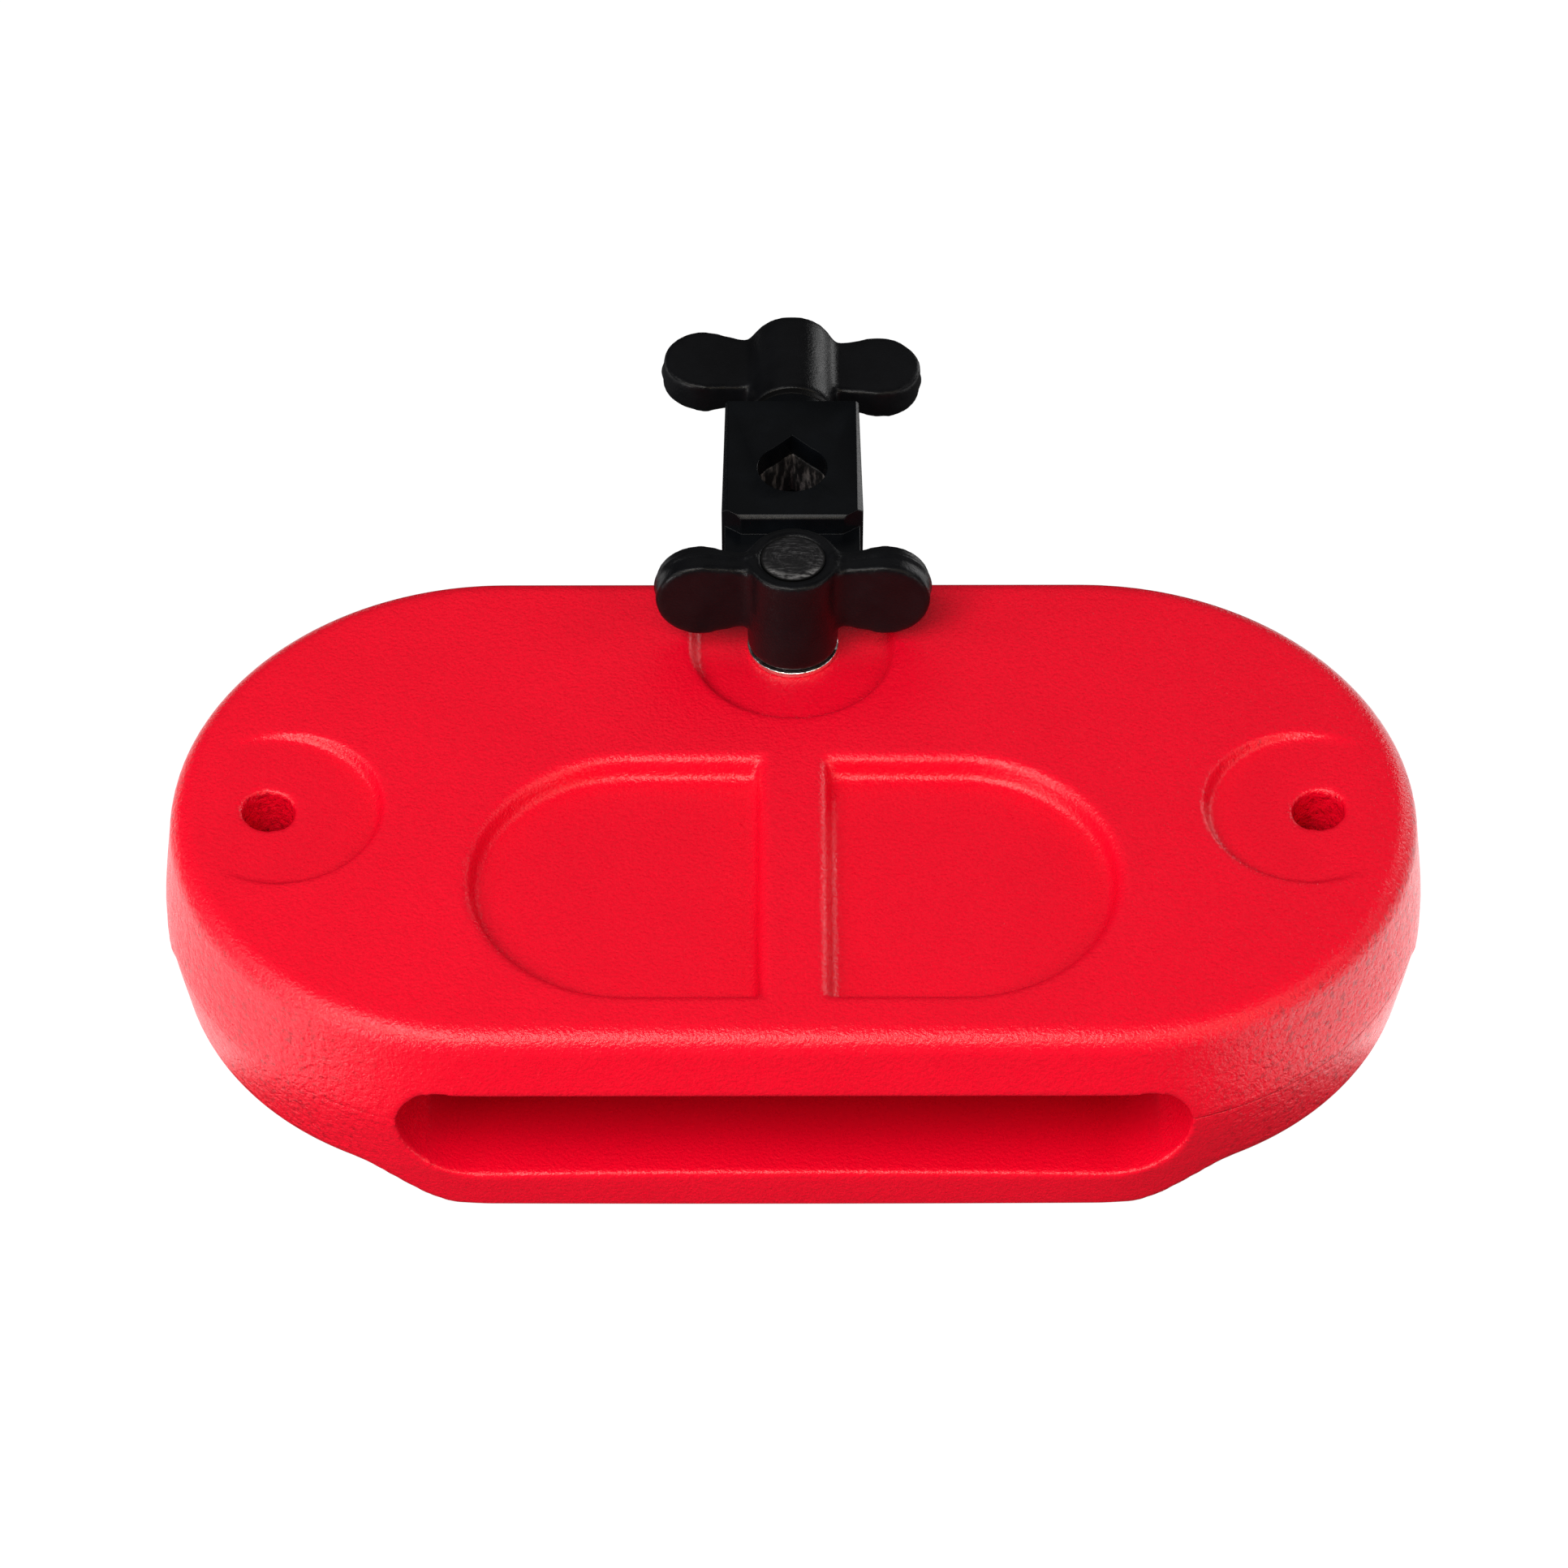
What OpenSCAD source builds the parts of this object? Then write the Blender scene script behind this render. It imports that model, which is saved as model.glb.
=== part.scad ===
// Moulded percussion block on a swivelling rod clamp.
// Millimetres. +Z is up, +X is the player's right, +Y is the clamp side.
// The origin is the middle of the resting face under the sound chamber.

/* [Body] */
// Length of the body at its parting line
body_l = 204; // [190:1:220]
// Depth of the body at its parting line, front to back
body_d = 107.8; // [104:0.2:112]
// Height of the body over its resting face
body_h = 41; // [40:0.5:44]
// Height of the parting line over the resting face
part_z = 22.5; // [19:0.5:24]
// How far the top edge stands in from the parting line
top_inset = 2; // [1:0.1:3]
// How far the foot of the wall stands in from the parting line
foot_inset = 3.6; // [2:0.1:6]
// Radius of the round along the top edge
top_round = 4; // [2:0.1:5]
// Radius of the round along the resting face
foot_round = 1.2; // [0.8:0.1:2.5]
// Radius of the round along the bottom of the ends
end_round = 5; // [3:0.1:6]
// Thickness of the moulded outer wall
wall = 4; // [3:0.1:4.5]

/* [Sound chamber] */
// Distance from each end of the body to the side of the chamber and its slot
chamber_inset = 40.2; // [37:0.1:44]
// Height of the chamber and of its front slot
chamber_h = 20.2; // [18:0.2:21.4]
// Height of the chamber's floor over the resting face
chamber_z = 8.8; // [6:0.1:9.4]
// Depth of the chamber behind the front of the body
chamber_d = 62; // [50:1:65]
// Radius of the chamber's upper corners
chamber_top_r = 7; // [4:0.5:8]
// Radius of the chamber's lower corners
chamber_foot_r = 12; // [8:0.5:12]
// Distance from each end of the body to the flat of the resting face
rest_inset = 50; // [46:0.5:54]
// Length of the curve at each side of the resting face
rest_curve_l = 20; // [14:0.5:22]
// Height of the body's ends over the resting face
end_rise = 5.6; // [3:0.1:6.4]

/* [Striking face] */
// Distance from each end of the body to the rim of its pocket
pocket_inset = 49.4; // [46:0.1:54]
// Depth of the pockets, front to back
pocket_d = 53.4; // [48:0.2:56]
// How far the pockets' middle lies in front of the body's middle
pocket_offset = 16.4; // [14:0.2:19]
// How far the pockets are sunk
pocket_sink = 3.8; // [2:0.1:5]
// Run of the pockets' sloping walls
pocket_run = 2; // [1:0.1:3]
// Width of the rib between the pockets
rib_w = 8; // [6:0.2:10]

/* [End holes] */
// Distance from each end of the body to the middle of its hole
hole_inset = 18; // [14:0.25:22]
// Radius of the end holes
hole_r = 4.2; // [3:0.1:5]
// How far the end holes lie in front of the body's middle
hole_offset = 1.7; // [0:0.1:3]
// Radius of the post around each end hole
post_r = 8.5; // [7:0.1:10]
// Radius of the round seat about each end hole
seat_r = 16.5; // [14:0.1:18]
// How far each seat is sunk at its inner side
seat_sink = 2.7; // [1.5:0.1:3.5]
// Run of each seat's sloping wall
seat_run = 1.4; // [0.5:0.1:2]
// Width of the upright pad under the parting line at each end
end_pad_w = 27; // [20:0.5:34]
// Height of the upright pad at each end
end_pad_h = 3.4; // [2:0.1:5]

/* [Swivel] */
// Distance from the back of the body to the swivel bolt
swivel_inset = 16.4; // [14:0.1:18]
// Radius of the swivel bolt and of the eye bolt's screw
screw_r = 4; // [3.5:0.1:4]
// How far the swivel bolt's recess is sunk in the top
recess_sink = 2.6; // [2:0.1:2.9]
// Radius of the recess about the swivel bolt
recess_r = 17; // [15:0.1:18]
// How far the recess's round front is centred in front of the bolt
recess_offset = 2.1; // [0:0.1:3]
// How far the clamp swings to either side, in degrees
swing = 8; // [4:1:12]
// Thickness of the clamp's tongue
tongue_h = 8; // [6:0.1:8.5]
// Half width and end radius of the clamp's tongue
tongue_r = 9; // [8:0.1:9.5]

/* [Clamp] */
// Width of the clamp block
block_w = 23.9; // [23:0.1:27]
// Length of the clamp block, front to back
block_l = 29.2; // [29:0.1:32]
// Height of the clamp block
block_h = 17.2; // [16:0.1:18]
// Distance from the swivel bolt to the front of the block
block_reach = 25.4; // [24.5:0.1:28]
// Height of the block's top over the top of the body
block_rise = 3; // [2:0.1:4]
// Height of the block's front face over its arm
step_h = 4; // [3:0.1:6]
// Radius of the rod hole
rod_r = 5.9; // [5:0.1:6]
// Thickness of the block's top plate
plate_h = 4.1; // [3:0.1:5]
// Thickness of the eye
eye_h = 8.4; // [8.2:0.1:8.8]
// How far the eye draws back to grip a rod
eye_travel = 3; // [2:0.1:3]

/* [Wing nuts] */
// Span of the wings
wing_span = 45; // [40:0.5:46]
// Height of a wing
wing_h = 15.2; // [12:0.1:15.5]
// Thickness of a wing at its lobe
wing_t = 6.2; // [4:0.1:7]
// Height of the wings' foot over the nut's seat
wing_foot = 4.3; // [3:0.1:5]
// Height of a nut's hub
nut_h = 19.2; // [18.8:0.1:22]
// Radius of a nut's hub
hub_r = 7.5; // [7.2:0.1:8]
// Radius of a nut's threaded insert
insert_r = 5.5; // [5.2:0.1:5.8]
// Length of a nut's threaded insert
insert_l = 13.5; // [12:0.1:14]
// Turn of the rod nut at rest, in degrees
rod_nut_turn = 2.6; // [-10:0.1:10]

/* [Hidden] */
$fn = 96;

// Clearances and the overrun of every cut
run_gap = 0.06;
seat_gap = 0.05;
slide_gap = 0.3;
bolt_gap = 0.2;
over = 1;

// Body: the ends are half rounds about end_x, and every level of the wall is a stadium
part_r = body_d / 2;
end_x = (body_l - body_d) / 2;
rest_w = body_l - 2 * rest_inset;
bulge_top = end_rise + 0.6 * end_round;
pocket_l = body_l - 2 * pocket_inset;
top_r = part_r - top_inset;
core_top_z = body_h - seat_sink - wall;
core_foot_z = end_rise + wall;
inner_top_r = top_r - wall;
inner_foot_r = wall_r(core_foot_z) - wall;

// Chamber
chamber_w = body_l - 2 * chamber_inset;
chamber_top = chamber_z + chamber_h;
chamber_back_y = chamber_d - part_r;
side_core_x = chamber_w / 2 + wall;
rear_core_y = chamber_back_y + wall;
socket_core_x = recess_r + wall;

// Seats about the end holes: the floor rises from the inner side to nothing at seat_fade_x
hole_x = body_l / 2 - hole_inset;
seat_shift_share = 0.12;
seat_x = hole_x - seat_r * seat_shift_share;
seat_fade_share = 0.45;
seat_fade_x = hole_x + seat_r * seat_fade_share;
seat_inner_x = seat_x - seat_r;
seat_room = 3 * seat_r;
seat_flare_share = 0.3;
seat_angle = atan2(seat_sink, seat_fade_x - seat_inner_x);

// Swivel: levels from the recess floor down through the tongue
swivel_y = part_r - swivel_inset;
recess_z = body_h - recess_sink;
tongue_foot = body_h + block_rise - block_h;
tongue_top = tongue_foot + tongue_h;
socket_top = tongue_top + slide_gap;
socket_foot = tongue_foot - slide_gap;
bore_r = screw_r + run_gap;
bolt_hole_r = screw_r + bolt_gap;
head_af = 13 / 4 * screw_r;
head_h = 1.325 * screw_r;
head_face_share = 0.95;
head_recess = screw_r / 4;
head_z = head_recess + head_h;
head_pocket_r = head_af * 0.68;
washer_r = hub_r;
washer_t = screw_r / 4;

// Clamp block, in distances behind the swivel bolt
block_top = body_h + block_rise;
block_foot = block_top - block_h;
block_front_y = swivel_y + block_reach;
block_back_y = block_front_y + block_l;
arm_share = 0.955;
arm_w = block_w * arm_share;
shoulder_reach = (part_r - swivel_y + slide_gap + arm_w / 2 * sin(swing)) / cos(swing);
shoulder_y = swivel_y + shoulder_reach;
arm_top = block_top - step_h;
back_share = 0.96;
block_back_w = block_w * back_share;
edge_share = 0.042;
block_edge = block_w * edge_share;
corner_x_share = 0.14;
corner_x = block_w * corner_x_share;
corner_y_share = 0.1;
corner_y = block_w * corner_y_share;
rod_front_share = 0.265;
rod_y = block_front_y + rod_r + block_w * rod_front_share;
notch_share = 0.98;
notch = rod_r * notch_share;
rod_tip = notch * sqrt(2);
screw_z = block_top - block_h / 2;
boss_l = 0.8 * screw_r;
boss_y = block_back_y + boss_l;

// Eye: its ring moves in a window through both sides of the block
eye_top = screw_z + eye_h / 2;
eye_wall = 0.54 * rod_r;
eye_r = rod_r + eye_wall;
eye_neck_w = 2.6 * screw_r;
eye_back_y = rod_y + rod_tip + eye_wall * 0.85;
window_foot = block_foot + plate_h;
window_top = block_top - plate_h;
window_front_y = rod_y - eye_r - slide_gap;
window_back_y = eye_back_y + eye_travel + slide_gap;

// Wing nuts: height is measured from the seat
lobe_r = wing_h / 2;
lobe_x = wing_span / 2 - lobe_r;
lobe_z = wing_foot + lobe_r;
grip_h = max(nut_h, wing_foot + wing_h);
waist = 0.08 * wing_h;
waist_t = 0.79 * wing_t;
blend_r = hub_r * 0.45;
blend_share = 0.97;
hub_edge = hub_r * 0.11;
cap_r = hub_r * 0.7;
cap_t = hub_r * 0.16;
relief_l = insert_l + eye_travel;
nut_seat_z = recess_z + washer_t + seat_gap;
swivel_bolt_top = nut_seat_z + insert_l * 0.9;
rod_washer_t = 0.35 * screw_r;
rod_seat_y = boss_y + rod_washer_t + seat_gap;
eye_bolt_end_y = rod_seat_y + insert_l * 0.9;

// Turns a profile drawn as radius and height into a body with straight sides and round ends
module stadium() {
    for (side = [-1, 1])
        translate([side * end_x, 0, 0])
            rotate_extrude()
                children();
    rotate([90, 0, 90])
        linear_extrude(height = 2 * end_x, center = true) {
            children();
            mirror([1, 0])
                children();
        }
}

// Outline of the wall over the parting line
module upper_profile() {
    polygon([[0, part_z], [part_r, part_z], [top_r, body_h - top_round],
        [top_r - top_round, body_h - top_round], [top_r - top_round, body_h], [0, body_h]]);
    translate([top_r - top_round, body_h - top_round])
        intersection() {
            circle(r = top_round);
            square(top_round);
        }
}

// Radius of the outer wall at a height under the parting line
function wall_r(z) = part_r - foot_inset * (part_z - z) / part_z;

// Outline of the wall under the parting line, down to a flat foot at height z with a round edge
module lower_profile(z, r) {
    out = wall_r(z + r);
    polygon([[0, z], [out - r, z], [out - r, z + r], [out, z + r], [part_r, part_z], [0, part_z]]);
    translate([out - r, z + r])
        intersection() {
            circle(r = r);
            translate([0, -r])
                square(r);
        }
}

// The bulge across the body: flat in the middle, with a smooth curve up into the ends' round edge
function bulge_side(t) = [rest_w / 2 + rest_curve_l * t, bulge_top * (1 - cos(180 * t)) / 2];
module bulge_section() {
    steps = 12;
    side = [for (i = [0 : steps]) bulge_side(i / steps)];
    mirrored = [for (i = [steps : -1 : 0]) [-side[i][0], side[i][1]]];
    top = [[side[steps][0], part_z], [-side[steps][0], part_z]];
    polygon(concat(mirrored, side, top));
}

// Cross-section of the chamber and its slot
module chamber_section() {
    half = chamber_w / 2;
    difference() {
        translate([-half, chamber_z])
            square([chamber_w, chamber_h]);
        for (side = [-1, 1]) {
            corner_cut(side, half - chamber_top_r, chamber_top - chamber_top_r, chamber_top_r, 1);
            corner_cut(side, half - chamber_foot_r, chamber_z + chamber_foot_r, chamber_foot_r, -1);
        }
    }
}

// What a round corner takes off a square one
module corner_cut(side, x, z, r, up) {
    difference() {
        translate([side * (x + (r + over) / 2), z + up * (r + over) / 2])
            square(r + over, center = true);
        translate([side * x, z])
            circle(r = r);
    }
}

module chamber_cut() {
    translate([0, chamber_back_y, 0])
        rotate([90, 0, 0])
            linear_extrude(height = chamber_d + over)
                chamber_section();
}

// Core hollows in both ends and beside the swivel, closed when the shells are joined
module core_plan(r) {
    side_w = side_core_x - wall - socket_core_x;
    for (side = [-1, 1])
        difference() {
            intersection() {
                union() {
                    translate([side * end_x, 0])
                        circle(r = r);
                    square([2 * end_x, 2 * r], center = true);
                }
                union() {
                    translate([side * (side_core_x + body_l / 2), 0])
                        square([body_l, body_d], center = true);
                    translate([side * (socket_core_x + side_w / 2), rear_core_y + r / 2])
                        square([side_w, r], center = true);
                }
            }
            translate([side * hole_x, -hole_offset])
                circle(r = post_r);
        }
}

// A round-ended pocket with sloping walls and soft edges, seen as radius and depth
module pocket_profile(r) {
    soft = pocket_sink / 3;
    polygon([[0, -pocket_sink], [r - pocket_run - soft, -pocket_sink],
        [r - pocket_run, -pocket_sink + soft / 3], [r - soft, -soft / 2],
        [r - soft / 3, -soft / 8], [r, 0], [r, over], [0, over]]);
}

module pockets() {
    r = pocket_d / 2;
    x = pocket_l / 2 - r;
    translate([0, -pocket_offset, body_h])
        difference() {
            union() {
                for (side = [-1, 1])
                    translate([side * x, 0, 0])
                        rotate_extrude()
                            pocket_profile(r);
                rotate([90, 0, 90])
                    linear_extrude(height = 2 * x, center = true) {
                        pocket_profile(r);
                        mirror([1, 0])
                            pocket_profile(r);
                    }
            }
            rotate([90, 0, 0])
                linear_extrude(height = pocket_d + 2 * over, center = true)
                    rib_section();
        }
}

// The rib's own section, wider at its foot
module rib_section() {
    soft = pocket_sink / 3;
    half = rib_w / 2;
    low = half + pocket_run;
    polygon([[-low - soft, -pocket_sink - over], [low + soft, -pocket_sink - over],
        [low + soft, -pocket_sink], [low, -pocket_sink + soft / 3], [half + soft, -soft / 2],
        [half + soft / 3, -soft / 8], [half, 0], [half, 2 * over], [-half, 2 * over], [-half, 0],
        [-half - soft / 3, -soft / 8], [-half - soft, -soft / 2], [-low, -pocket_sink + soft / 3],
        [-low - soft, -pocket_sink]]);
}

// Round seat about an end hole, with a floor that rises outwards
module seat(side) {
    mirror([min(side, 0), 0, 0])
        intersection() {
            translate([seat_x, -hole_offset, body_h - seat_sink - over])
                cylinder(h = seat_sink + over + over, r1 = seat_r - seat_run, r2 = seat_r + seat_run * seat_flare_share);
            translate([seat_fade_x, -hole_offset, body_h])
                rotate([0, -seat_angle, 0])
                    translate([-seat_room, 0, seat_room / 2])
                        cube([2 * seat_room, seat_room, seat_room], center = true);
        }
}

module end_hole(side) {
    translate([side * hole_x, -hole_offset, -over])
        cylinder(h = body_h + 2 * over, r = hole_r);
}

// Recess about the swivel bolt, open to the back
module swivel_recess() {
    translate([0, swivel_y - recess_offset, recess_z]) {
        cylinder(h = recess_sink + over, r1 = recess_r - seat_run, r2 = recess_r + seat_run * seat_flare_share);
        rotate([-90, 0, 0])
            linear_extrude(height = body_d)
                polygon([[-recess_r + seat_run, 0], [recess_r - seat_run, 0],
                    [recess_r + seat_run * seat_flare_share, -recess_sink - over],
                    [-recess_r - seat_run * seat_flare_share, -recess_sink - over]]);
    }
}

// Socket for the tongue: it opens towards the back by the angle of swing
module socket() {
    reach = body_d;
    clear_r = tongue_r + slide_gap;
    translate([0, swivel_y, socket_foot])
        linear_extrude(height = socket_top - socket_foot) {
            circle(r = clear_r);
            for (side = [-1, 1])
                rotate(side * swing)
                    translate([-clear_r, 0])
                        square([2 * clear_r, reach]);
        }
}

// Moulded top half
module upper_shell() {
    color("red")
        difference() {
            stadium()
                upper_profile();
            chamber_cut();
            translate([0, 0, part_z - over])
                linear_extrude(height = core_top_z - part_z + over)
                    core_plan(inner_top_r);
            pockets();
            for (side = [-1, 1]) {
                seat(side);
                end_hole(side);
            }
            swivel_recess();
            socket();
            translate([0, swivel_y, 0])
                cylinder(h = body_h, r = bolt_hole_r);
        }
}

// Moulded bottom half
module lower_shell() {
    color("crimson")
        difference() {
            union() {
                stadium()
                    lower_profile(end_rise, end_round);
                intersection() {
                    stadium()
                        lower_profile(0, foot_round);
                    rotate([90, 0, 0])
                        linear_extrude(height = 2 * body_d, center = true)
                            bulge_section();
                }
                end_pads();
            }
            chamber_cut();
            translate([0, 0, core_foot_z])
                linear_extrude(height = part_z - core_foot_z + over)
                    core_plan(inner_foot_r);
            for (side = [-1, 1])
                end_hole(side);
            translate([0, swivel_y, -over]) {
                cylinder(h = body_h, r = bolt_hole_r);
                cylinder(h = head_z + washer_t + over, r = head_pocket_r);
            }
        }
}

// Upright pads under the parting line, flush with it at each end
module end_pads() {
    for (side = [-1, 1])
        intersection() {
            translate([side * end_x, 0, part_z - end_pad_h])
                cylinder(h = end_pad_h, r = part_r - seat_gap);
            translate([side * (end_x + part_r), 0, part_z])
                cube([part_r, end_pad_w, 2 * end_pad_h], center = true);
        }
}

// Hexagon head with its outer corners chamfered
module bolt_head() {
    corner_r = head_af / sqrt(3);
    face_r = head_af / 2 * head_face_share;
    intersection() {
        cylinder(h = head_h, r = corner_r, $fn = 6);
        rotate_extrude()
            polygon([[0, 0], [face_r, 0], [corner_r + over, (corner_r + over - face_r) * tan(30)],
                [corner_r + over, head_h + over], [0, head_h + over]]);
    }
}

// Hexagon bolt that holds the clamp's tongue in its socket
module swivel_bolt() {
    color("silver")
        translate([0, swivel_y, head_recess]) {
            bolt_head();
            cylinder(h = swivel_bolt_top - head_recess, r = screw_r);
        }
}

module ring(r, hole, t) {
    difference() {
        cylinder(h = t, r = r);
        translate([0, 0, -over])
            cylinder(h = t + 2 * over, r = hole);
    }
}

module head_washer() {
    color("silver")
        translate([0, swivel_y, head_z])
            ring(washer_r, bolt_hole_r, washer_t);
}

module swivel_washer() {
    color("gainsboro")
        translate([0, swivel_y, recess_z + seat_gap / 2])
            ring(washer_r, bolt_hole_r, washer_t);
}

// Repeats a flat shape on the left, and on the left and below
module twice() {
    children();
    mirror([1, 0])
        children();
}

module four_times() {
    twice()
        children();
    mirror([0, 1])
        twice()
            children();
}

// Plan of the wings: thick at the lobes, thinner at the hub and blended into it
module wing_plan() {
    y = waist_t / 2 + blend_r;
    x = sqrt(pow(hub_r + blend_r * blend_share, 2) - y * y);
    touch = hub_r / (hub_r + blend_r);
    four_times() {
        polygon([[0, 0], [wing_span / 2, 0], [wing_span / 2, wing_t / 2], [lobe_x, wing_t / 2],
            [x, waist_t / 2], [0, waist_t / 2]]);
        difference() {
            polygon([[0, 0], [x, 0], [x, y], [x * touch, y * touch]]);
            translate([x, y])
                circle(r = blend_r);
        }
    }
}

// Front of the wings: two lobes, with a waist at the hub
module wing_front() {
    top_z = wing_foot + wing_h;
    twice() {
        translate([lobe_x, lobe_z])
            circle(r = lobe_r);
        polygon([[0, wing_foot + waist], [hub_r, wing_foot + waist], [lobe_x, wing_foot],
            [lobe_x, top_z], [hub_r, top_z - waist], [0, top_z - waist]]);
    }
}

// Side of the hub, with a round edge at its seat
module hub_profile() {
    difference() {
        square([hub_r, nut_h]);
        corner_cut(1, hub_r - hub_edge, hub_edge, hub_edge, -1);
    }
}

// Over-moulded grip, drawn about +Z with its seat at zero
module nut_grip() {
    difference() {
        union() {
            rotate_extrude()
                hub_profile();
            intersection() {
                linear_extrude(height = grip_h)
                    wing_plan();
                rotate([90, 0, 0])
                    linear_extrude(height = 4 * hub_r, center = true)
                        wing_front();
            }
        }
        translate([0, 0, -over])
            cylinder(h = insert_l + over, r = insert_r + seat_gap);
        cylinder(h = relief_l, r = screw_r + bolt_gap);
        translate([0, 0, nut_h - cap_t])
            cylinder(h = cap_t + grip_h, r = cap_r + seat_gap);
    }
}

// Threaded insert, with a knurled band shown as shallow grooves
module nut_insert() {
    groove = insert_r * 0.08;
    difference() {
        cylinder(h = insert_l, r = insert_r);
        translate([0, 0, -over])
            cylinder(h = insert_l + 2 * over, r = bore_r);
        for (share = [0.3, 0.6])
            translate([0, 0, insert_l * share])
                rotate_extrude()
                    translate([insert_r - groove, 0])
                        square([2 * groove, 2 * groove]);
    }
}

// Slightly domed cap let into the end of the hub
module nut_cap() {
    dome = cap_t * 0.5;
    dome_r = (cap_r * cap_r + dome * dome) / (2 * dome);
    translate([0, 0, nut_h - cap_t])
        intersection() {
            cylinder(h = cap_t + dome, r = cap_r);
            translate([0, 0, cap_t * 0.8 + dome - dome_r])
                sphere(r = dome_r);
        }
}

module at_swivel_nut() {
    translate([0, swivel_y, nut_seat_z])
        children();
}

module at_rod_nut() {
    translate([0, rod_seat_y, screw_z])
        rotate([-90, 0, 0])
            rotate(rod_nut_turn)
                children();
}

module swivel_nut_grip() {
    color([0.12, 0.12, 0.12])
        at_swivel_nut()
            nut_grip();
}

module swivel_nut_insert() {
    color("goldenrod")
        at_swivel_nut()
            nut_insert();
}

module swivel_nut_cap() {
    color([0.2, 0.2, 0.21])
        at_swivel_nut()
            nut_cap();
}

module rod_nut_grip() {
    color([0.12, 0.12, 0.12])
        at_rod_nut()
            nut_grip();
}

module rod_nut_insert() {
    color("goldenrod")
        at_rod_nut()
            nut_insert();
}

module rod_nut_cap() {
    color([0.2, 0.2, 0.21])
        at_rod_nut()
            nut_cap();
}

module rod_washer() {
    color([0.15, 0.15, 0.16])
        translate([0, boss_y + seat_gap / 2, screw_z])
            rotate([-90, 0, 0])
                ring(hub_r, bore_r, rod_washer_t);
}

// Rod hole: a circle whose back ends in a square-cornered notch
module rod_outline() {
    circle(r = rod_r);
    rotate(45)
        square(notch);
}

// Plan of the block: narrower at the back, with bevelled front corners
module block_plan() {
    half = block_w / 2;
    back = block_back_w / 2;
    polygon([[-half + corner_x, block_front_y], [half - corner_x, block_front_y],
        [half, block_front_y + corner_y], [back, block_back_y], [-back, block_back_y],
        [-half, block_front_y + corner_y]]);
}

// Cast clamp: block, arm, tongue and the boss behind the block
module clamp_housing() {
    color([0.1, 0.1, 0.11])
        difference() {
            union() {
                intersection() {
                    translate([0, 0, block_foot])
                        linear_extrude(height = block_h)
                            block_plan();
                    rotate([90, 0, 0])
                        linear_extrude(height = 4 * body_d, center = true)
                            block_section();
                }
                translate([-arm_w / 2, shoulder_y, block_foot])
                    cube([arm_w, block_front_y + corner_y - shoulder_y, arm_top - block_foot]);
                tongue();
                translate([0, block_back_y - over, screw_z])
                    rotate([-90, 0, 0])
                        cylinder(h = boss_l + over, r = hub_r);
            }
            eye_window();
            translate([0, rod_y, block_foot - over])
                linear_extrude(height = block_h + 2 * over)
                    rod_outline();
            translate([0, window_back_y - over, screw_z])
                rotate([-90, 0, 0])
                    cylinder(h = block_l, r = bore_r);
            translate([0, swivel_y, block_foot - tongue_r])
                cylinder(h = block_h + tongue_r, r = bore_r);
        }
}

// Section of the block from the front, with bevelled top edges
module block_section() {
    half = block_w / 2;
    polygon([[-half, block_foot], [half, block_foot], [half, block_top - block_edge],
        [half - block_edge, block_top], [-half + block_edge, block_top], [-half, block_top - block_edge]]);
}

module tongue() {
    translate([0, swivel_y, tongue_foot])
        linear_extrude(height = tongue_h) {
            circle(r = tongue_r);
            translate([-tongue_r, 0])
                square([2 * tongue_r, block_reach + corner_y]);
        }
}

// Window through both sides of the block, in which the eye draws back
module eye_window() {
    translate([-block_w, window_front_y, window_foot])
        cube([2 * block_w, window_back_y - window_front_y, window_top - window_foot]);
}

// Eye bolt: a flat ring with the rod hole and a screw behind it
module eye_bolt() {
    color("dimgray") {
        difference() {
            union() {
                translate([0, rod_y, eye_top - eye_h])
                    linear_extrude(height = eye_h) {
                        circle(r = eye_r);
                        translate([-eye_neck_w / 2, 0])
                            square([eye_neck_w, eye_back_y - rod_y]);
                    }
                translate([0, eye_back_y - over, screw_z])
                    rotate([-90, 0, 0])
                        cylinder(h = eye_bolt_end_y - eye_back_y + over, r = screw_r);
            }
            translate([0, rod_y, eye_top - eye_h - over])
                linear_extrude(height = eye_h + 2 * over)
                    rod_outline();
        }
    }
}

upper_shell();
lower_shell();
swivel_bolt();
head_washer();
swivel_washer();
swivel_nut_grip();
swivel_nut_insert();
swivel_nut_cap();
clamp_housing();
eye_bolt();
rod_washer();
rod_nut_grip();
rod_nut_insert();
rod_nut_cap();
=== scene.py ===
import math

import bmesh
import bpy
import numpy as np
from mathutils import Matrix, Vector


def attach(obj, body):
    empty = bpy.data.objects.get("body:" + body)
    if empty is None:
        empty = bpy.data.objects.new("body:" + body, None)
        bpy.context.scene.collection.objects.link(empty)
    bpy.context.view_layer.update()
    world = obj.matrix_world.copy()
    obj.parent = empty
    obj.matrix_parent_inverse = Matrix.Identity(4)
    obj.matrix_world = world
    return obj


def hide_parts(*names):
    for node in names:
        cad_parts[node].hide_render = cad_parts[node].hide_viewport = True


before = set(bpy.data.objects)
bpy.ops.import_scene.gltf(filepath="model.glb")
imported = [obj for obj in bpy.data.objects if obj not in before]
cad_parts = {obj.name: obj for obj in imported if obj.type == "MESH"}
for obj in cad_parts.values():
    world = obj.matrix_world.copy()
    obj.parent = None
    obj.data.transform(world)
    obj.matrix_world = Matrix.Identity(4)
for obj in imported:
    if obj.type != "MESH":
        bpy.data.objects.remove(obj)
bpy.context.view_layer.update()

# Places on the part, in metres
PART_Z = 0.0225
SWIVEL_Y = 0.0375
NUT_SEAT_Z = 0.03945
ROD_SEAT_Y = 0.09675
SCREW_Z = 0.0354
ROD_NUT_TURN = math.radians(2.6)


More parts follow.
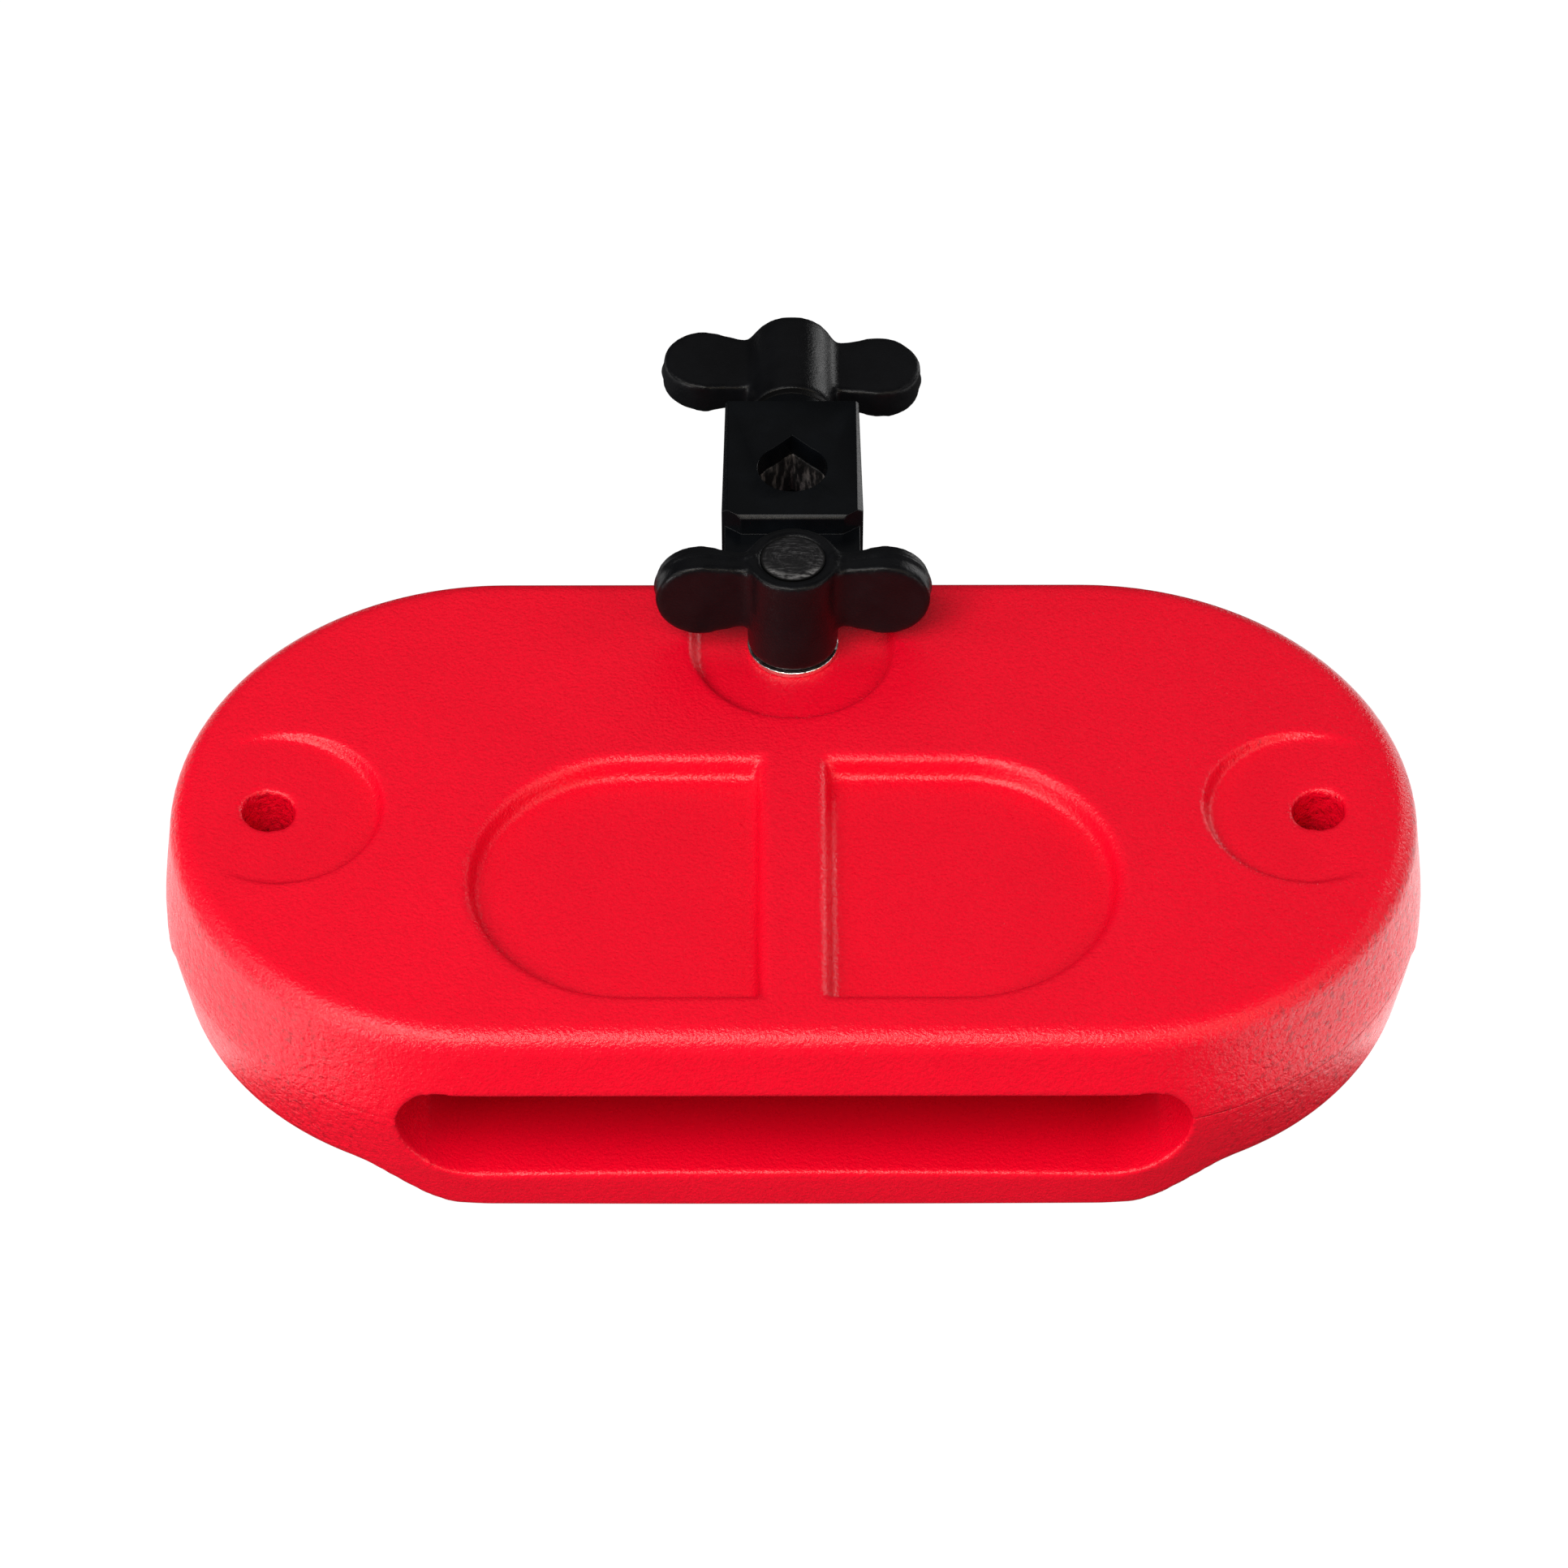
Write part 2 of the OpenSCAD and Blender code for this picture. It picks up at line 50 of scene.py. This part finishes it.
# Node helpers
def new_material(name):
    mat = bpy.data.materials.new(name)
    mat.use_nodes = True
    tree = mat.node_tree
    tree.nodes.clear()
    out = tree.nodes.new("ShaderNodeOutputMaterial")
    shader = tree.nodes.new("ShaderNodeBsdfPrincipled")
    tree.links.new(shader.outputs["BSDF"], out.inputs["Surface"])
    return mat, tree, shader


def place(tree, socket, value):
    if hasattr(value, "is_linked"):
        tree.links.new(value, socket)
    else:
        socket.default_value = value


def coords(tree):
    return tree.nodes.new("ShaderNodeTexCoord").outputs["Object"]


def noise(tree, where, scale, detail=2.0, rough=0.5):
    n = tree.nodes.new("ShaderNodeTexNoise")
    tree.links.new(where, n.inputs["Vector"])
    n.inputs["Scale"].default_value = scale
    n.inputs["Detail"].default_value = detail
    n.inputs["Roughness"].default_value = rough
    return n.outputs["Fac"]


def stretched(tree, where, scale):
    n = tree.nodes.new("ShaderNodeMapping")
    tree.links.new(where, n.inputs["Vector"])
    n.inputs["Scale"].default_value = scale
    return n.outputs["Vector"]


def ramp(tree, value, low, high, a=0.0, b=1.0, smooth=True):
    n = tree.nodes.new("ShaderNodeMapRange")
    n.interpolation_type = "SMOOTHSTEP" if smooth else "LINEAR"
    place(tree, n.inputs["Value"], value)
    n.inputs["From Min"].default_value = low
    n.inputs["From Max"].default_value = high
    n.inputs["To Min"].default_value = a
    n.inputs["To Max"].default_value = b
    return n.outputs["Result"]


def calc(tree, op, a, b=0.0):
    n = tree.nodes.new("ShaderNodeMath")
    n.operation = op
    place(tree, n.inputs[0], a)
    place(tree, n.inputs[1], b)
    return n.outputs[0]


def times(tree, a, b):
    return calc(tree, "MULTIPLY", a, b)


def mix(tree, fac, a, b):
    n = tree.nodes.new("ShaderNodeMix")
    n.data_type = "RGBA"
    place(tree, n.inputs["Factor"], fac)
    place(tree, n.inputs[6], a)
    place(tree, n.inputs[7], b)
    return n.outputs[2]


def parts_of(tree, vector):
    n = tree.nodes.new("ShaderNodeSeparateXYZ")
    tree.links.new(vector, n.inputs[0])
    return n.outputs


def normal_z(tree):
    return parts_of(tree, tree.nodes.new("ShaderNodeNewGeometry").outputs["Normal"])[2]


def bump(tree, height, distance, strength=1.0, under=None):
    n = tree.nodes.new("ShaderNodeBump")
    n.inputs["Distance"].default_value = distance
    place(tree, n.inputs["Strength"], strength)
    tree.links.new(height, n.inputs["Height"])
    if under is not None:
        tree.links.new(under, n.inputs["Normal"])
    return n.outputs["Normal"]


def shade(colour, share):
    return (colour[0] * share, colour[1] * share, colour[2] * share, 1)


# Red plastic: scales of its noises, then the depths of its grain and its parting line in metres
FINE_SCALE = 1700
COARSE_SCALE = 820
FLECK_SCALE = 950
CLOUD_SCALE = 45
FINE_DEPTH = 0.00024
COARSE_DEPTH = 0.0006
SEAM_DEPTH = 0.0002
FLECK_SHADE_SHARE = 0.75

# The sound chamber, where the red is painted darker as shade and its grain is smoother: each side fades in
# between its two places
CHAMBER_CEILING = (0.031, 0.029)
CHAMBER_ENDS = (0.0585, 0.0575)
CHAMBER_FLOOR = (0.0078, 0.0086)
CHAMBER_MOUTH = (-0.0525, -0.03)
CHAMBER_BACK = (0.012, 0.01)

# The parting line, a dark joint: where its edge fades, and where along X it grows from faint to plain; that
# growth is painted shade
SEAM_FADE = (0.0002, 0.00004)
SEAM_GROWS = (0.02, 0.05)
SEAM_FAINT = 0.15
SEAM_PLAIN = 0.6


# Materials
def red_plastic(name, base, deep):
    """Fine leathery grain on top, and a coarser one on the end walls, whose dark flecks are painted shade
    in its pits.
    """
    mat, tree, shader = new_material(name)
    where = coords(tree)
    x, y, z = parts_of(tree, where)
    across = calc(tree, "ABSOLUTE", x)
    upright = ramp(tree, calc(tree, "ABSOLUTE", normal_z(tree)), 0.9, 0.45)
    end_wall = times(tree, upright, ramp(tree, across, 0.055, 0.08))
    fine = noise(tree, where, FINE_SCALE, 2.5, 0.62)
    coarse = noise(tree, where, COARSE_SCALE, 3.0, 0.6)
    cloud = noise(tree, where, CLOUD_SCALE, 3.0, 0.55)
    fleck_shade = ramp(tree, noise(tree, where, FLECK_SCALE, 2.0, 0.5), 0.57, 0.63)
    shaded_chamber = ramp(tree, z, *CHAMBER_CEILING)
    for along, side in ((across, CHAMBER_ENDS), (z, CHAMBER_FLOOR), (y, CHAMBER_MOUTH), (y, CHAMBER_BACK)):
        shaded_chamber = times(tree, shaded_chamber, ramp(tree, along, *side))
    off_seam = calc(tree, "ABSOLUTE", calc(tree, "SUBTRACT", z, PART_Z))
    seam = times(tree, ramp(tree, off_seam, *SEAM_FADE), upright)
    # Painted shade: the parting line's darkening grows plainer towards +X
    seam = times(tree, seam, ramp(tree, x, *SEAM_GROWS, SEAM_FAINT, SEAM_PLAIN))
    dark = shade(deep, 0.55)
    tone = mix(tree, ramp(tree, cloud, 0.3, 0.7), base, deep)
    tone = mix(tree, ramp(tree, fine, 0.45, 0.62, 0.0, 0.5), tone, shade(deep, 0.88))
    # Painted shade: the red inside the sound chamber is darkened
    tone = mix(tree, shaded_chamber, tone, shade(deep, 0.68))
    # Painted shade: dark flecks in the coarse grain of the end walls, in the pits that fall in shade
    tone = mix(tree, times(tree, times(tree, fleck_shade, end_wall), FLECK_SHADE_SHARE), tone, dark)
    tone = mix(tree, seam, tone, dark)
    place(tree, shader.inputs["Base Color"], tone)
    place(tree, shader.inputs["Roughness"], ramp(tree, coarse, 0.3, 0.7, 0.24, 0.34, False))
    shader.inputs["Specular IOR Level"].default_value = 0.42
    under = bump(tree, fine, FINE_DEPTH, ramp(tree, shaded_chamber, 0, 0.6, 0.85, 0.1))
    under = bump(tree, coarse, COARSE_DEPTH, times(tree, end_wall, 0.9), under)
    place(tree, shader.inputs["Normal"], bump(tree, seam, -SEAM_DEPTH, 0.8, under))
    return mat


def black_metal(name, base, rough, gloss):
    mat, tree, shader = new_material(name)
    shader.inputs["Specular IOR Level"].default_value = gloss
    where = coords(tree)
    cloud = noise(tree, where, 160, 3.0, 0.55)
    fine = noise(tree, where, 2600, 2.0, 0.6)
    tone = mix(tree, ramp(tree, cloud, 0.35, 0.75), base, shade(base, 1.7))
    place(tree, shader.inputs["Base Color"], tone)
    place(tree, shader.inputs["Roughness"], ramp(tree, fine, 0.3, 0.7, rough - 0.05, rough + 0.06, False))
    place(tree, shader.inputs["Normal"], bump(tree, fine, 0.00005, 0.06))
    return mat


def rubber(name, base, rough, gloss):
    mat, tree, shader = new_material(name)
    shader.inputs["Specular IOR Level"].default_value = gloss
    where = coords(tree)
    cloud = noise(tree, where, 120, 4.0, 0.6)
    fine = noise(tree, where, 2100, 3.0, 0.6)
    scuff = ramp(tree, noise(tree, stretched(tree, where, (500, 500, 2400)), 1.0, 3.0, 0.6), 0.62, 0.74)
    pale = shade(base, 2.2)
    tone = mix(tree, ramp(tree, cloud, 0.35, 0.75, 0.0, 0.5), base, pale)
    place(tree, shader.inputs["Base Color"], mix(tree, times(tree, scuff, 0.3), tone, pale))
    place(tree, shader.inputs["Roughness"], ramp(tree, cloud, 0.3, 0.7, rough - 0.06, rough + 0.06, False))
    place(tree, shader.inputs["Normal"], bump(tree, fine, 0.00012, 0.6))
    return mat


# Discs in the nuts: radius, and the tones of the satin face, its scuffs, a painted highlight along one side
# of its edge and the painted shade of the gap at its rim
CAP_R = 0.00525
CAP_SATIN = (0.006, 0.006, 0.0068, 1)
CAP_SCUFF = (0.06, 0.06, 0.064, 1)
CAP_EDGE_HIGHLIGHT = (0.14, 0.14, 0.145, 1)
CAP_GAP_SHADE = (0.0005, 0.0005, 0.0005, 1)


def scuffed_cap(name, centre, along):
    """A satin disc with circular scuffs about its own middle."""
    mat, tree, shader = new_material(name)
    where = coords(tree)
    shift = tree.nodes.new("ShaderNodeVectorMath")
    shift.operation = "SUBTRACT"
    tree.links.new(where, shift.inputs[0])
    shift.inputs[1].default_value = centre
    x, y, z = parts_of(tree, shift.outputs[0])
    side = z if along == "Y" else y
    out = calc(tree, "SQRT", calc(tree, "ADD", times(tree, x, x), times(tree, side, side)))
    turn = calc(tree, "ARCTAN2", side, x)
    lay = tree.nodes.new("ShaderNodeCombineXYZ")
    place(tree, lay.inputs[0], times(tree, out, 2600))
    place(tree, lay.inputs[1], times(tree, turn, 2.2))
    rings = noise(tree, lay.outputs[0], 1.0, 3.0, 0.6)
    strokes = noise(tree, stretched(tree, where, (500, 2600, 2600)), 1.0, 4.0, 0.7)
    patch = noise(tree, where, 300, 3.0, 0.6)
    round_scuffs = times(tree, ramp(tree, rings, 0.5, 0.72), 0.5)
    scuffs = calc(tree, "MAXIMUM", round_scuffs, ramp(tree, strokes, 0.48, 0.68))
    scuffs = times(tree, scuffs, ramp(tree, patch, 0.3, 0.6, 0.25, 1.0))
    near_rim = ramp(tree, out, CAP_R - 0.0016, CAP_R - 0.0006)
    # Painted highlight along one side of the disc's edge
    edge_highlight = times(tree, near_rim, ramp(tree, side, -0.001, -0.0035))
    edge_highlight = times(tree, edge_highlight, ramp(tree, strokes, 0.4, 0.6))
    # Painted shade of the gap at the disc's rim
    rim = ramp(tree, out, CAP_R - 0.0005, CAP_R - 0.0001)
    tone = mix(tree, scuffs, CAP_SATIN, CAP_SCUFF)
    tone = mix(tree, edge_highlight, tone, CAP_EDGE_HIGHLIGHT)
    place(tree, shader.inputs["Base Color"], mix(tree, rim, tone, CAP_GAP_SHADE))
    shader.inputs["Specular IOR Level"].default_value = 0.3
    place(tree, shader.inputs["Roughness"], ramp(tree, rings, 0.3, 0.7, 0.34, 0.55, False))
    place(tree, shader.inputs["Normal"], bump(tree, rings, 0.0001, 0.6))
    return mat


def bare_metal(name, base, rough, lay=(900, 900, 900)):
    mat, tree, shader = new_material(name)
    where = coords(tree)
    brushed = noise(tree, stretched(tree, where, lay), 1.0, 3.0, 0.6)
    cloud = noise(tree, where, 300, 3.0, 0.6)
    tone = mix(tree, ramp(tree, cloud, 0.35, 0.75), base, shade(base, 0.7))
    place(tree, shader.inputs["Base Color"], tone)
    shader.inputs["Metallic"].default_value = 1.0
    place(tree, shader.inputs["Roughness"], ramp(tree, brushed, 0.3, 0.7, rough - 0.06, rough + 0.1, False))
    place(tree, shader.inputs["Normal"], bump(tree, brushed, 0.00004, 0.35))
    return mat


def rough_casting(name):
    mat, tree, shader = new_material(name)
    where = coords(tree)
    streak = noise(tree, stretched(tree, where, (900, 900, 260)), 1.0, 4.0, 0.65)
    lumps = noise(tree, where, 700, 4.0, 0.65)
    tone = mix(tree, ramp(tree, streak, 0.46, 0.7), (0.008, 0.008, 0.009, 1), (0.16, 0.145, 0.145, 1))
    place(tree, shader.inputs["Base Color"], tone)
    shader.inputs["Metallic"].default_value = 0.35
    place(tree, shader.inputs["Roughness"], ramp(tree, lumps, 0.3, 0.7, 0.36, 0.6, False))
    place(tree, shader.inputs["Normal"], bump(tree, lumps, 0.0004, 0.7))
    return mat


red_upper = red_plastic("red_upper", (0.9, 0.0013, 0.0215, 1), (0.86, 0.0011, 0.02, 1))
red_lower = red_plastic("red_lower", (0.9, 0.0013, 0.022, 1), (0.86, 0.0011, 0.0205, 1))
cast_black = black_metal("cast_black", (0.0014, 0.0018, 0.0025, 1), 0.28, 0.14)
washer_black = black_metal("washer_black", (0.002, 0.002, 0.0022, 1), 0.5, 0.08)
grip_black = rubber("grip_black", (0.0026, 0.0028, 0.0035, 1), 0.32, 0.16)
steel = bare_metal("plated_steel", (0.72, 0.72, 0.74, 1), 0.24)
bright = bare_metal("bright_steel", (0.9, 0.86, 0.84, 1), 0.2)
brass = bare_metal("machined_brass", (0.72, 0.5, 0.2, 1), 0.28, (300, 300, 3000))
casting = rough_casting("rough_casting")
cap_swivel = scuffed_cap("cap_swivel", (0, SWIVEL_Y, NUT_SEAT_Z), "Z")
cap_rod = scuffed_cap("cap_rod", (0, ROD_SEAT_Y, SCREW_Z), "Y")


# Mesh helpers
def new_object(name, mesh):
    obj = bpy.data.objects.new(name, mesh)
    bpy.context.collection.objects.link(obj)
    return obj


def copy_of(name, node):
    """A mesh object with a CAD node's shape, at the node's own place."""
    bm = bmesh.new()
    bm.from_mesh(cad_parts[node].data)
    bmesh.ops.remove_doubles(bm, verts=bm.verts, dist=1e-6)
    mesh = bpy.data.meshes.new(name)
    bm.to_mesh(mesh)
    bm.free()
    return new_object(name, mesh)


def baked(obj):
    """Turns an object's modifiers into its mesh."""
    deps = bpy.context.evaluated_depsgraph_get()
    mesh = bpy.data.meshes.new_from_object(obj.evaluated_get(deps))
    old = obj.data
    obj.modifiers.clear()
    obj.data = mesh
    bpy.data.meshes.remove(old)
    return obj


def moulded(obj, voxel, turns, share, before_thinning):
    """Rounds a solid's edges: an even mesh of small squares is smoothed, shaped further, then thinned."""
    mod = obj.modifiers.new("remesh", "REMESH")
    mod.mode = "VOXEL"
    mod.voxel_size = voxel
    mod = obj.modifiers.new("soft", "SMOOTH")
    mod.factor = 0.5
    mod.iterations = turns
    baked(obj)
    before_thinning(obj)
    mod = obj.modifiers.new("thin", "DECIMATE")
    mod.ratio = share
    return baked(obj)


def bevelled(obj, width, turns, angle):
    """Rounds the edges that are sharper than the angle, and keeps the faces between them flat."""
    mod = obj.modifiers.new("edge", "BEVEL")
    mod.width = width
    mod.segments = turns
    mod.limit_method = "ANGLE"
    mod.angle_limit = math.radians(angle)
    mod.harden_normals = True
    return baked(obj)


def dressed(obj, material, body, node):
    """Gives a piece its material and its body, shades it smooth, and hides the solid it stands for."""
    obj.data.materials.clear()
    obj.data.materials.append(material)
    obj.data.polygons.foreach_set("use_smooth", [True] * len(obj.data.polygons))
    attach(obj, body)
    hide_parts(node)


# Body: both shells are softened as one, so that they still meet at the parting line
def half_of(obj, name, upper):
    bm = bmesh.new()
    bm.from_mesh(obj.data)
    cut = bmesh.ops.bisect_plane(
        bm, geom=bm.verts[:] + bm.edges[:] + bm.faces[:], dist=1e-7,
        plane_co=(0, 0, PART_Z), plane_no=(0, 0, 1), clear_inner=upper, clear_outer=not upper)
    rim = [e for e in cut["geom_cut"] if isinstance(e, bmesh.types.BMEdge)]
    bmesh.ops.triangle_fill(bm, edges=rim, use_beauty=True, use_dissolve=False)
    for e in rim:
        e.smooth = False
    bmesh.ops.recalc_face_normals(bm, faces=bm.faces)
    mesh = bpy.data.meshes.new(name)
    bm.to_mesh(mesh)
    bm.free()
    return new_object(name, mesh)


def ease_body(obj):
    """Rounds the parting line off, leans the strip under the slot back and bows its foot to the front."""
    part_band = 0.007
    part_ease = 0.00035
    bow = 0.0006
    lean = 0.0009
    front_y = -0.0539
    front_room = 0.006
    front_fade = 0.005
    half_w = 0.062
    strip_h = 0.0088
    fade_top = 0.0125
    fade_h = 0.004
    mesh = obj.data
    at = np.empty(len(mesh.vertices) * 3)
    mesh.vertices.foreach_get("co", at)
    at = at.reshape(-1, 3)
    near = np.clip((front_y + front_room - at[:, 1]) / front_fade, 0, 1)
    across = np.clip(1 - (at[:, 0] / half_w) ** 2, 0, 1)
    height = np.clip(at[:, 2] / strip_h, 0, 1)
    fade = np.clip((fade_top - at[:, 2]) / fade_h, 0, 1)
    at[:, 1] += near * across * fade * (height * lean - (1 - height) * bow)
    normal = np.empty(len(mesh.vertices) * 3)
    mesh.vertex_normals.foreach_get("vector", normal)
    normal = normal.reshape(-1, 3)
    level = np.clip(1 - np.abs(normal[:, 2]) * 2, 0, 1)[:, None]
    band = np.clip(1 - np.abs(at[:, 2] - PART_Z) / part_band, 0, 1)[:, None] ** 2
    at -= normal * level * band * part_ease
    mesh.vertices.foreach_set("co", at.reshape(-1))
    mesh.update()


# The lower shell's rim reaches this far into the upper shell, so that the remesh makes one skin of both
OVERLAP = 0.0004
lower = copy_of("lower_copy", "lower_shell")
for v in lower.data.vertices:
    if v.co.z > PART_Z - 1e-5:
        v.co.z += OVERLAP
whole = copy_of("whole_body", "upper_shell")
join = bmesh.new()
join.from_mesh(whole.data)
join.from_mesh(lower.data)
join.to_mesh(whole.data)
join.free()
bpy.data.objects.remove(lower)
moulded(whole, voxel=0.00045, turns=14, share=0.4, before_thinning=ease_body)
top_half = half_of(whole, "upper_shell_moulded", True)
foot_half = half_of(whole, "lower_shell_moulded", False)
bpy.data.objects.remove(whole)
dressed(top_half, red_upper, "block", "upper_shell")
dressed(foot_half, red_lower, "block", "lower_shell")

# Clamp casting with bevelled edges, the broadest along the front of the block's top
BLOCK_FRONT_Y = 0.0629
BLOCK_TOP_Z = 0.044
FRONT_EDGE = 0.0007
NEAR = 1e-4
clamp = copy_of("clamp_casting", "clamp_housing")
bm = bmesh.new()
bm.from_mesh(clamp.data)
bmesh.ops.dissolve_limit(bm, angle_limit=math.radians(1), verts=bm.verts, edges=bm.edges)
front = [e for e in bm.edges if all(abs(v.co.y - BLOCK_FRONT_Y) < NEAR and v.co.z > BLOCK_TOP_Z - NEAR
                                    for v in e.verts)]
bmesh.ops.bevel(bm, geom=front, offset=FRONT_EDGE, segments=1, affect="EDGES")
bm.to_mesh(clamp.data)
bm.free()
clamp.data.shade_smooth()
bevelled(clamp, width=0.0004, turns=4, angle=28)
dressed(clamp, cast_black, "clamp", "clamp_housing")


# Eye as a rough casting
def drawn_in(obj):
    """Takes a thin layer off, so that the eye's screw stays clear of its bore."""
    layer = 0.00014
    for v in obj.data.vertices:
        v.co -= v.normal * layer


eye = copy_of("eye_casting", "eye_bolt")
moulded(eye, voxel=0.0003, turns=3, share=0.4, before_thinning=drawn_in)
dressed(eye, casting, "eye", "eye_bolt")


# Grips: rounded wings with a raised moulding seam along their edges
def add_seam(turned):
    """Makes the step that raises the seam on a grip, which stands turned and placed as the matrix says."""
    line_y = 0.0005
    line_w = 0.0005
    lift = 0.00034
    hub_r = 0.0062
    start_z = 0.009
    start_fade = 0.003
    face_cut = 1.3

    def raise_line(obj):
        mesh = obj.data
        count = len(mesh.vertices)
        at = np.empty(count * 3)
        normal = np.empty(count * 3)
        mesh.vertices.foreach_get("co", at)
        mesh.vertex_normals.foreach_get("vector", normal)
        at = at.reshape(-1, 3)
        normal = normal.reshape(-1, 3)
        spin = np.array(turned.to_3x3())
        own = (at - np.array(turned.translation)) @ spin
        face = np.abs(normal @ spin)[:, 1]
        off_hub = np.hypot(own[:, 0], own[:, 1]) > hub_r
        outside = off_hub * np.clip((own[:, 2] - start_z) / start_fade, 0, 1)
        line = np.exp(-((own[:, 1] - line_y) / line_w) ** 2)
        edge = np.clip(1 - face * face_cut, 0, 1) * outside
        at += normal * (lift * line * edge)[:, None]
        mesh.vertices.foreach_set("co", at.reshape(-1))
        mesh.update()

    return raise_line


swivel_place = Matrix.Translation((0, SWIVEL_Y, NUT_SEAT_Z))
rod_place = (Matrix.Translation((0, ROD_SEAT_Y, SCREW_Z)) @ Matrix.Rotation(math.radians(-90), 4, "X")
             @ Matrix.Rotation(ROD_NUT_TURN, 4, "Z"))
for name, node, body, turned in (("swivel_grip", "swivel_nut_grip", "swivel_nut", swivel_place),
                                 ("rod_grip", "rod_nut_grip", "rod_nut", rod_place)):
    grip = copy_of(name, node)
    moulded(grip, voxel=0.00038, turns=34, share=0.6, before_thinning=add_seam(turned))
    dressed(grip, grip_black, body, node)

# Small turned pieces get a fine edge, which catches the light
for name, node, body, slot, mat, edge in (
        ("swivel_washer_edged", "swivel_washer", "swivel_carrier", "washer_steel", bright, 0.00015),
        ("head_washer_edged", "head_washer", "block", "bolt_steel", steel, 0.0002),
        ("rod_washer_edged", "rod_washer", "clamp", "washer_black", washer_black, 0.0002)):
    ring = copy_of(name, node)
    bevelled(ring, width=edge, turns=3, angle=40)
    dressed(ring, mat, body, node)

# Carried-over solids and their materials
for node, mat in (("swivel_nut_cap", cap_swivel), ("rod_nut_cap", cap_rod), ("swivel_bolt", steel),
                  ("swivel_nut_insert", brass), ("rod_nut_insert", brass)):
    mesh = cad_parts[node].data
    mesh.materials.clear()
    mesh.materials.append(mat)

# Floor: white to the camera, with a weaker glow for everything else, and a little below the part
FLOOR_WHITE = 1.0
FLOOR_GLOW = 0.16
FLOOR_GREY = 0.06
FLOOR_HALF = 4.0
FLOOR_Z = -0.0006
floor_mat, tree, shader = new_material("pale_floor")
shader.inputs["Base Color"].default_value = (FLOOR_GREY, FLOOR_GREY, FLOOR_GREY, 1)
shader.inputs["Roughness"].default_value = 0.9
shader.inputs["Specular IOR Level"].default_value = 0.0
shader.inputs["Emission Color"].default_value = (1, 1, 1, 1)
seen = tree.nodes.new("ShaderNodeLightPath").outputs["Is Camera Ray"]
place(tree, shader.inputs["Emission Strength"], ramp(tree, seen, 0, 1, FLOOR_GLOW, FLOOR_WHITE, False))
bm = bmesh.new()
bmesh.ops.create_grid(bm, x_segments=8, y_segments=8, size=FLOOR_HALF)
mesh = bpy.data.meshes.new("floor")
bm.to_mesh(mesh)
bm.free()
floor = new_object("floor", mesh)
floor.location = (0, 0, FLOOR_Z)
floor.data.materials.append(floor_mat)
floor.visible_glossy = False
floor_mat.cycles.emission_sampling = "NONE"


# Light: each lamp has its middle, what it faces, its size, its brightness in watts and its colour
def soft_light(name, at, aim, size, power, colour=(1, 1, 1)):
    data = bpy.data.lights.new(name, "AREA")
    data.shape = "RECTANGLE"
    data.size, data.size_y = size
    data.energy = power
    data.color = colour
    lamp = new_object(name, data)
    lamp.location = at
    lamp.rotation_euler = (Vector(aim) - Vector(at)).to_track_quat("-Z", "Y").to_euler()


WARM = (1, 0.84, 0.6)
MIDDLE = (0, 0, 0.02)
soft_light("overhead", (-0.22, -0.4, 0.72), MIDDLE, (0.6, 0.4), 4.8)
soft_light("key_left", (-0.75, -0.85, 0.85), MIDDLE, (0.35, 0.35), 2.6, WARM)
soft_light("key_right", (0.8, -0.8, 0.85), MIDDLE, (0.35, 0.35), 2.0, WARM)
soft_light("front_strip", (0, -0.9, 0.95), MIDDLE, (1.6, 0.05), 2.7, WARM)
soft_light("side_left", (-0.95, -0.1, 0.75), MIDDLE, (0.5, 0.5), 2.1)
soft_light("side_right", (0.95, -0.1, 0.75), MIDDLE, (0.5, 0.5), 1.4)
soft_light("low_front_left", (-0.75, -0.6, 0.1), (0, 0, 0), (0.5, 0.12), 3.6)
soft_light("low_front_right", (0.75, -0.65, 0.1), (0, 0, 0), (0.5, 0.12), 1.4)
soft_light("back_sky", (-0.1, 0.85, 0.95), MIDDLE, (1.2, 0.5), 0.42)
soft_light("edge_right", (0.75, 0.85, 0.2), (0, 0.08, 0.04), (0.3, 0.6), 2.2)
# Two lamps lie beside the ends and shine up along the end walls
for name, x, y, power in (("low_left", -0.195, 0.06, 0.24), ("low_right", 0.197, 0.075, 0.33)):
    soft_light(name, (x, y, 0.001), (x, y, 1), (0.2, 0.34), power)

ROOM_GLOW = 0.05
world = bpy.data.worlds.new("studio")
bpy.context.scene.world = world
world.use_nodes = True
room = world.node_tree.nodes["Background"]
room.inputs["Color"].default_value = (1, 1, 1, 1)
room.inputs["Strength"].default_value = ROOM_GLOW

# Camera: its place and aim give the photograph's view
FOCAL_PX = 6545.3
IMAGE_PX = 1932
SENSOR_MM = 36
AIM_RIGHT_PX = 11.78
AIM_UP_PX = 18.04
stand = Vector((-0.00247, -0.5905, 0.6524))
ahead = (Vector((0, 0, 0.041)) - stand).normalized()
right = ahead.cross(Vector((0, 0, 1))).normalized()
up = right.cross(ahead)
ahead = (ahead - right * (AIM_RIGHT_PX / FOCAL_PX) + up * (AIM_UP_PX / FOCAL_PX)).normalized()
data = bpy.data.cameras.new("camera")
data.lens = FOCAL_PX / IMAGE_PX * SENSOR_MM
data.sensor_width = SENSOR_MM
data.clip_start = 0.02
camera = new_object("camera", data)
camera.location = stand
camera.rotation_euler = ahead.to_track_quat("-Z", "Y").to_euler()
bpy.context.scene.camera = camera
bpy.context.scene.view_settings.view_transform = "Standard"
